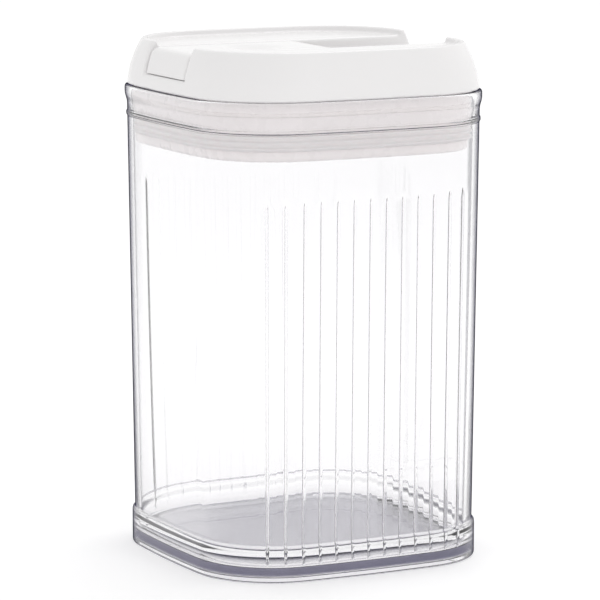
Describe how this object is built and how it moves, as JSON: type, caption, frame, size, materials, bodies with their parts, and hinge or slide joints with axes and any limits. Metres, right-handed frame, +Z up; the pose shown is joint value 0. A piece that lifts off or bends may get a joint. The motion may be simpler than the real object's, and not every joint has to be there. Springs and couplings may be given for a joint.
{
  "type": "food canister",
  "caption": "Square clear storage canister with a white airtight lid whose flip lever squeezes a seal ring against the jar.",
  "frame": {"origin": "bottom centre of the jar, on the plane that it stands on", "axes": "+Z up the jar to the lid, -Y the side where the lever's finger tab is, +X along the lever's hinge pin"},
  "size_m": [0.131, 0.131, 0.2145],
  "materials": {
    "clear_body": "clear plastic, polished, faint cool tint",
    "white_shell": "glossy white, moulded",
    "white_frame": "satin white, moulded",
    "slide_plastic": "natural slippery plastic",
    "silicone": "translucent silicone, satin",
    "dark_rubber": "black rubber",
    "spring_steel": "bright drawn steel",
    "screw_steel": "stainless, machined"
  },
  "bodies": {
    "jar": {"jar": "clear_body"},
    "lid": {"lid_cover": "white_shell", "lid_chassis": "white_frame", "wear_plate": "slide_plastic", "stem_bush": "slide_plastic", "seal_ring": "silicone", "return_spring": "spring_steel", "chassis_screws": "screw_steel", "lever_bumpers": "silicone"},
    "plate": {"compression_plate": "white_frame", "pull_stem": "slide_plastic", "stem_o_ring": "dark_rubber", "stem_screw": "screw_steel", "sealing_washer": "dark_rubber", "plate_cap": "white_frame", "spring_seat": "spring_steel"},
    "lever": {"flip_lever": "white_shell", "lever_liner": "white_frame", "hinge_pin": "screw_steel", "pin_clips": "spring_steel"}
  },
  "joints": [
    {"name": "lid_lift", "type": "slide", "parent": "jar", "child": "lid", "axis": [0, 0, 1], "range_m": [0, 0.16]},
    {"name": "plate_drop", "type": "slide", "parent": "lid", "child": "plate", "axis": [0, 0, -1], "range_m": [0, 0.0025], "deforming": ["seal_ring", "return_spring"]},
    {"name": "lever_flip", "type": "hinge", "parent": "plate", "child": "lever", "pos_m": [0, 0, 0.20605], "axis": [-1, 0, 0], "range_deg": [0, 90]}
  ],
  "couplings": [
    {"joint": "plate_drop", "follows": "lever_flip", "m_per_rad": 0.0015915}
  ]
}
